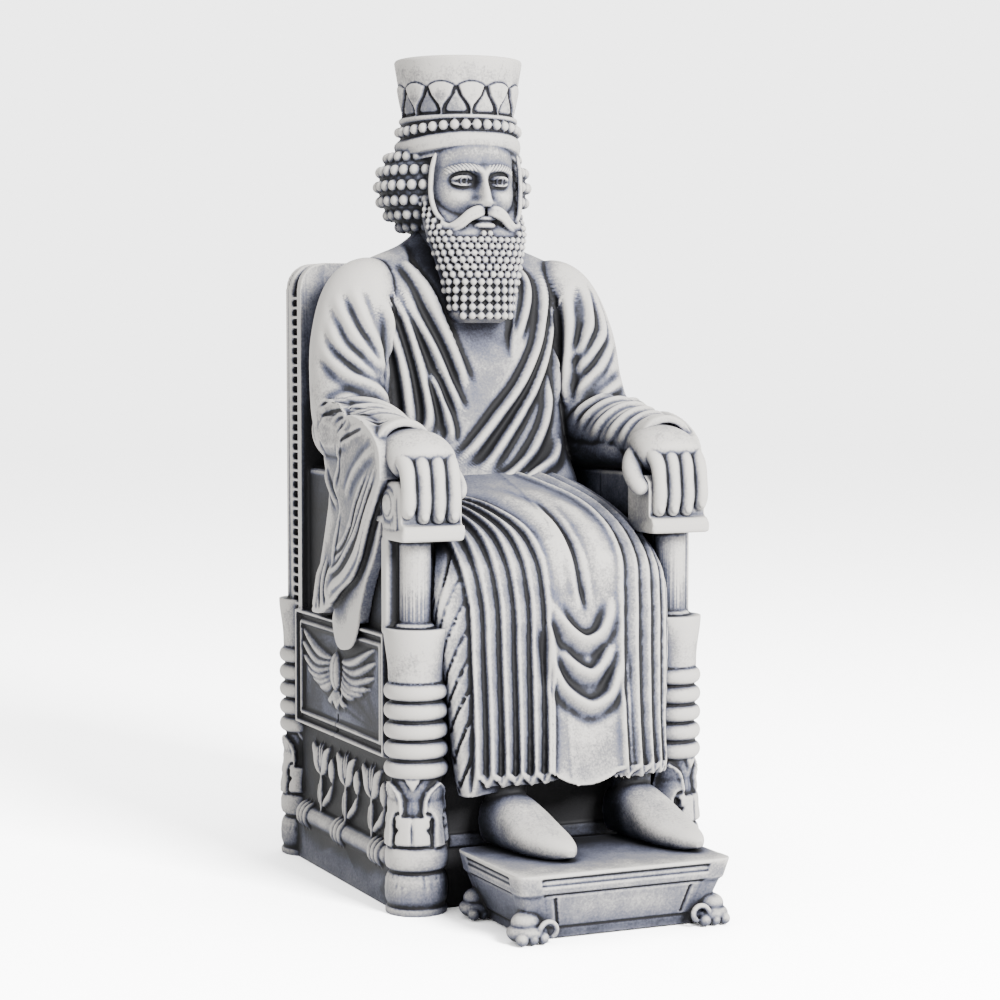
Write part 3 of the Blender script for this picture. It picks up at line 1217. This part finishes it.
def build_footstool(sizes):
    """Moulded top and wall in one skin, on four paws that each end in a curl."""
    clay = Clay()
    middle = (STOOL_FRONT + STOOL_REAR) / 2
    depth = (STOOL_REAR - STOOL_FRONT) / 2
    def place(turn, v):
        z = 0.6 + (STOOL_TOP - 0.6) * v
        c, s = rounded(turn, 18)
        inset, plain = profile(STOOL_WALL, z), profile(STOOL_CORNER, z)
        along_x = STOOL_HALF - np.abs(c * STOOL_HALF)
        along_y = depth - np.abs(s * depth)
        corner = np.maximum(along_x, along_y)
        inset = np.where(corner < 7.5, plain, inset)
        groove = (np.abs(corner - 11.5) < 0.7) & (z > 4.6) & (z < 13.8)
        inset = inset + np.where(groove, 1.0, 0)
        return c * (STOOL_HALF - inset), middle + s * (depth - inset * np.where(s < 0, 1, 0.4)), z

    clay.skin(520, 90, place)
    for sx in SIDES:
        for y in (-104, -67.6):
            x = sx * 31.4
            clay.ball(x, y, 3.4, 6.4, 5.9, 3.4, 4)
            clay.ball(x + sx * 0.6, y, 6.4, 4.4, 4.2, 3.4, 4)
            for toe in (-3.4, 0.0, 3.4):
                clay.ball(x + toe, y - 3.9, 2.2, 2.0, 2.4, 2.0, 3)
            curl = []
            for k, turned in enumerate(range(-40, 261, 30)):
                a, r = math.radians(turned), 3.4 - 0.15 * k
                curl.append((x - sx * (5.4 - r * math.cos(a)), y - 4.6, 4.2 + r * math.sin(a), 0.9))
            clay.limb(curl, 14, 60)
    return cast(clay, "footstool", STOOL_VOXEL, sizes.budget // 2, None, STOOL_POOLS)


# Finish

def linear(code):
    """Shader colour of an sRGB hex code."""
    values = [int(code[i:i + 2], 16) / 255 for i in (1, 3, 5)]
    return (*[v / 12.92 if v <= 0.04045 else ((v + 0.055) / 1.055) ** 2.4 for v in values], 1.0)


def add(tree, kind, settings=None, links=None):
    """Adds one node, sets its options and inputs and links what feeds it."""
    made = tree.nodes.new(kind)
    for key, value in (settings or {}).items():
        if hasattr(made, key):
            setattr(made, key, value)
        else:
            made.inputs[key].default_value = value
    for key, source in (links or {}).items():
        tree.links.new(source, made.inputs[key])
    return made


def polystone(colours):
    """Cast polystone, brushed ivory over a blue-black wash.

    The eye sees pale crests, blue-grey slopes and near-black hollows with a dry, speckled edge between them.
    """
    material = bpy.data.materials.new("polystone_cast_and_washed")
    material.use_nodes = True
    tree = material.node_tree
    tree.nodes.clear()
    place = add(tree, "ShaderNodeTexCoord").outputs["Object"]

    def band(source, low, high, a, b):
        node = add(tree, "ShaderNodeMapRange", {"From Min": low, "From Max": high, "To Min": a, "To Max": b},
                   {"Value": source})
        return node.outputs["Result"]

    def maths(operation, *values):
        node = add(tree, "ShaderNodeMath", {"operation": operation})
        for k, value in enumerate(values):
            if isinstance(value, (int, float)):
                node.inputs[k].default_value = value
            else:
                tree.links.new(value, node.inputs[k])
        return node.outputs[0]

    def noise(scale, detail, share):
        settings = {"Scale": scale, "Detail": detail, "Roughness": 0.6}
        value = add(tree, "ShaderNodeTexNoise", settings, {"Vector": place}).outputs["Fac"]
        return maths("MULTIPLY", maths("SUBTRACT", value, 0.5), share)

    def measured(name, low, high, a, b):
        value = add(tree, "ShaderNodeAttribute", {"attribute_name": name}).outputs["Fac"]
        return band(value, low, high, a, b)

    # How much wash is left: in narrow grooves, in the valleys of folds and in sheltered corners
    shelter = add(tree, "ShaderNodeAmbientOcclusion", {"samples": 6, "Distance": 0.03}).outputs["AO"]
    parts = (
        measured("groove", 0.0, 0.12, 0.0, 0.5), measured("hollow", 0.0, 0.6, 0.0, 0.7),
        measured("shelter", 0.0, 2.2, 0.0, 0.7), measured("shelter", -1.2, 0.0, -0.3, 0.0),
        measured("groove", -0.07, 0.0, -0.16, 0.0), measured("pool", -1.0, 1.0, -1.0, 1.0),
        band(shelter, 0.05, 1.0, 1.0, 0.0), noise(1300, 2, 0.5), noise(140, 3, 0.45),
    )
    wash = 0.1
    for part in parts:
        wash = maths("ADD", part, wash)
    ramp_node = add(tree, "ShaderNodeValToRGB", {}, {"Fac": wash})
    stops = ((0.0, colours.crest), (0.2, colours.ivory), (0.46, colours.slope), (0.74, colours.shade),
             (1.0, colours.wash))
    bar = ramp_node.color_ramp.elements
    while len(bar) < len(stops):
        bar.new(0.5)
    for stop, (where, code) in zip(bar, stops):
        stop.position = where
        stop.color = linear(code)
    grain = add(tree, "ShaderNodeTexNoise", {"Scale": 1200.0, "Detail": 2.0}, {"Vector": place})
    bump_node = add(tree, "ShaderNodeBump", {"Strength": 0.15, "Distance": 0.0003},
                    {"Height": grain.outputs["Fac"]})
    shader = add(tree, "ShaderNodeBsdfPrincipled", {"Roughness": 0.7, "Specular IOR Level": 0.08},
                 {"Base Color": ramp_node.outputs["Color"], "Normal": bump_node.outputs["Normal"]})
    add(tree, "ShaderNodeOutputMaterial", {}, {"Surface": shader.outputs["BSDF"]})
    return material


def shared_material():
    found = bpy.data.materials.get("polystone_cast_and_washed")
    return found or polystone(bpy.context.scene.statue_colours)


class StatueSizes(bpy.types.PropertyGroup):
    """Sizes that set how finely the casting is shown."""

    voxel: bpy.props.FloatProperty(
        name="Casting detail", description="Smallest carved detail in millimetres",
        default=0.5, min=0.2, max=3.0)
    head_voxel: bpy.props.FloatProperty(
        name="Head detail", description="Smallest carved detail of the head and hands in millimetres",
        default=0.34, min=0.2, max=3.0)
    budget: bpy.props.IntProperty(
        name="Triangles", description="Most triangles in one piece", default=185000, min=1000, max=198000)


class StatueColours(bpy.types.PropertyGroup):
    """Colours of the finish as sRGB codes."""

    crest: bpy.props.StringProperty(name="Crest", description="Dry-brushed crests", default="#62605D")
    ivory: bpy.props.StringProperty(name="Ivory", description="Open surfaces", default="#403F3F")
    slope: bpy.props.StringProperty(name="Slope", description="Sheltered surfaces", default="#292B35")
    shade: bpy.props.StringProperty(name="Shade", description="Valleys of folds", default="#0C0D13")
    wash: bpy.props.StringProperty(name="Wash", description="Narrow grooves", default="#020203")


class BuildOperator:
    """What the builders of the castings share."""

    bl_options = {"REGISTER"}

    def execute(self, context):
        made = self.build(context.scene.statue_sizes)
        hand_over(made, self.node, shared_material())
        return {"FINISHED"}


class STATUE_OT_throne(BuildOperator, bpy.types.Operator):
    """Builds the throne casting"""

    bl_idname = "statue.throne"
    bl_label = "Build throne"
    node = "throne"
    build = staticmethod(build_throne)


class STATUE_OT_footstool(BuildOperator, bpy.types.Operator):
    """Builds the footstool casting"""

    bl_idname = "statue.footstool"
    bl_label = "Build footstool"
    node = "footstool"
    build = staticmethod(build_footstool)


class STATUE_OT_robe(BuildOperator, bpy.types.Operator):
    """Builds the king's trunk, arms and sleeves"""

    bl_idname = "statue.robe"
    bl_label = "Build robe"
    node = "king"
    build = staticmethod(build_robe)


class STATUE_OT_lap(BuildOperator, bpy.types.Operator):
    """Builds the king's skirt and shoes"""

    bl_idname = "statue.lap"
    bl_label = "Build skirt and shoes"
    node = "king"
    build = staticmethod(build_lap)


class STATUE_OT_head(BuildOperator, bpy.types.Operator):
    """Builds the king's head, beard, hair and crown"""

    bl_idname = "statue.head"
    bl_label = "Build head"
    node = "king"
    build = staticmethod(build_head)


class STATUE_OT_hands(BuildOperator, bpy.types.Operator):
    """Builds the king's hands"""

    bl_idname = "statue.hands"
    bl_label = "Build hands"
    node = "king"
    build = staticmethod(build_hands)


# Camera: place in millimetres, tilt below level and turn to the side in degrees
CAMERA_PLACE = (-339.208, -768.764, 182.684)
CAMERA_DIP = 3.717
CAMERA_TURN = 24.207
# Lights: name, place in metres, power and size
LIGHTS = (
    ("key", (0.25, -1.15, 0.75), 200.0, 0.4),
    ("fill", (0.9, -0.6, 0.4), 12.0, 0.7),
    ("top", (0.0, 0.1, 1.1), 20.0, 0.7),
)
LIGHTS_AIM = (0, -0.02, 0.14)


class STATUE_OT_stage(bpy.types.Operator):
    """Adds the floor, the lights and the camera"""

    bl_idname = "statue.stage"
    bl_label = "Build stage"

    def execute(self, context):
        scene = context.scene
        bm = bmesh.new()
        bmesh.ops.create_grid(bm, x_segments=1, y_segments=1, size=3.0)
        mesh = mesh_of(bm, "floor")
        floor = put("floor", mesh)
        # The eye sees an even pale ground with a soft shadow
        paper = bpy.data.materials.new("matt_white_paper")
        paper.use_nodes = True
        shader = paper.node_tree.nodes["Principled BSDF"]
        shader.inputs["Base Color"].default_value = linear("#FAFAFA")
        shader.inputs["Roughness"].default_value = 0.9
        mesh.materials.append(paper)
        world = bpy.data.worlds.new("studio")
        world.use_nodes = True
        back = world.node_tree.nodes["Background"]
        back.inputs["Color"].default_value = linear("#FFFFFF")
        back.inputs["Strength"].default_value = 4.0
        scene.world = world
        for name, place, power, size in LIGHTS:
            data = bpy.data.lights.new(name, "AREA")
            data.energy = power
            data.size = size
            lamp = put(name, data)
            lamp.location = place
            aim = Vector(LIGHTS_AIM) - lamp.location
            lamp.rotation_euler = aim.to_track_quat("-Z", "Y").to_euler()
        data = bpy.data.cameras.new("camera")
        data.lens = 87.9
        data.sensor_width = 36
        data.clip_start, data.clip_end = 0.01, 20
        camera = put("camera", data)
        camera.location = Vector(CAMERA_PLACE) * MM
        camera.rotation_euler = (math.radians(90 - CAMERA_DIP), 0, math.radians(-CAMERA_TURN))
        scene.camera = camera
        return {"FINISHED"}


class STATUE_PT_panel(bpy.types.Panel):
    """Lists the steps of the statue."""

    bl_label = "Statue"
    bl_idname = "STATUE_PT_panel"
    bl_space_type = "VIEW_3D"
    bl_region_type = "UI"
    bl_category = "Statue"

    def draw(self, context):
        for group in (context.scene.statue_sizes, context.scene.statue_colours):
            for key in group.__annotations__:
                self.layout.prop(group, key)
        for step in STEPS:
            self.layout.operator(step.bl_idname)


STEPS = (STATUE_OT_throne, STATUE_OT_footstool, STATUE_OT_robe, STATUE_OT_lap, STATUE_OT_head,
         STATUE_OT_hands, STATUE_OT_stage)
CLASSES = (StatueSizes, StatueColours, *STEPS, STATUE_PT_panel)


def register():
    for item in CLASSES:
        bpy.utils.register_class(item)
    bpy.types.Scene.statue_sizes = bpy.props.PointerProperty(type=StatueSizes)
    bpy.types.Scene.statue_colours = bpy.props.PointerProperty(type=StatueColours)


def unregister():
    del bpy.types.Scene.statue_colours
    del bpy.types.Scene.statue_sizes
    for item in reversed(CLASSES):
        bpy.utils.unregister_class(item)


def main():
    register()
    bpy.ops.statue.throne()
    bpy.ops.statue.footstool()
    bpy.ops.statue.robe()
    bpy.ops.statue.lap()
    bpy.ops.statue.head()
    bpy.ops.statue.hands()
    bpy.ops.statue.stage()
    bpy.context.view_layer.update()


if __name__ == "__main__":
    main()
